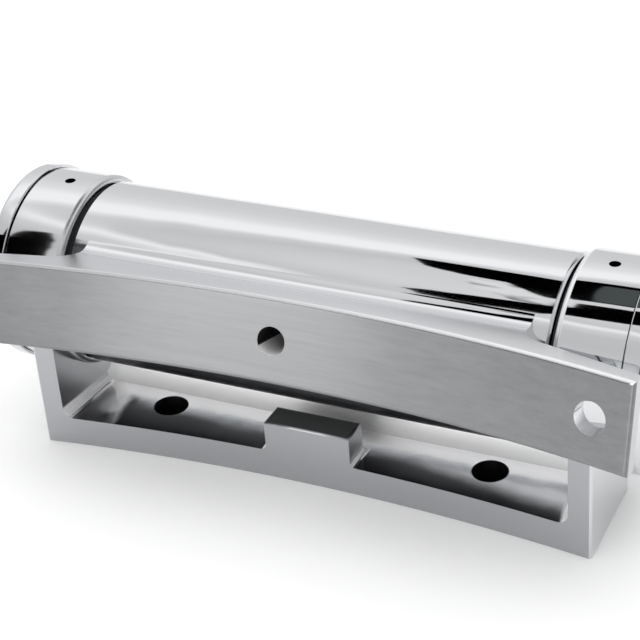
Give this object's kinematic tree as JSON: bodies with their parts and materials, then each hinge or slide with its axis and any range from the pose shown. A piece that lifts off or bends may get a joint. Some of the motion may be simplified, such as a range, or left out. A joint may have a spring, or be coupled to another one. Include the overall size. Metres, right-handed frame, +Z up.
{
  "type": "spring hinge",
  "caption": "Heavy chromed spring hinge with a barrel and long hollow-faced leaf turning between two knuckles on a pocketed foot.",
  "frame": {"origin": "midway between the two mounting bolt holes, on the underside of the foot", "axes": "+X along the hinge axis to the picture's right, -Y towards the leaf and the viewer, +Z up out of the mounting face"},
  "size_m": [0.214, 0.0895, 0.0786],
  "materials": {
    "polished_chrome": "mirror-polished chrome plate",
    "turned_steel": "fine turned steel",
    "spring_steel": "dark oil-tempered spring wire",
    "black_polymer": "black acetal",
    "bush_bronze": "sintered bronze"
  },
  "bodies": {
    "base": {"base_casting": "polished_chrome", "journal_plug_left": "turned_steel", "journal_plug_right": "turned_steel", "end_cap_left": "polished_chrome", "end_cap_right": "polished_chrome", "cap_screw_left": "turned_steel", "cap_screw_right": "turned_steel", "grub_screw_left": "turned_steel", "grub_screw_right": "turned_steel", "hinge_shaft": "turned_steel", "spiral_spring_left": "spring_steel", "spiral_spring_right": "spring_steel", "spring_spacer_left": "black_polymer", "spring_spacer_right": "black_polymer", "thrust_washer_left": "black_polymer", "thrust_washer_right": "black_polymer"},
    "leaf": {"lid_leaf": "polished_chrome", "barrel_bush_left": "bush_bronze", "barrel_bush_right": "bush_bronze", "centre_bush": "bush_bronze"}
  },
  "joints": [
    {"name": "leaf_swing", "type": "hinge", "parent": "base", "child": "leaf", "pos_m": [0, 0.0115, 0.048], "axis": [-1, 0, 0], "range_deg": [-16.4, 73.6], "stiffness_Nm_per_rad": 12.4, "deforming": ["spiral_spring_left", "spiral_spring_right"]}
  ]
}
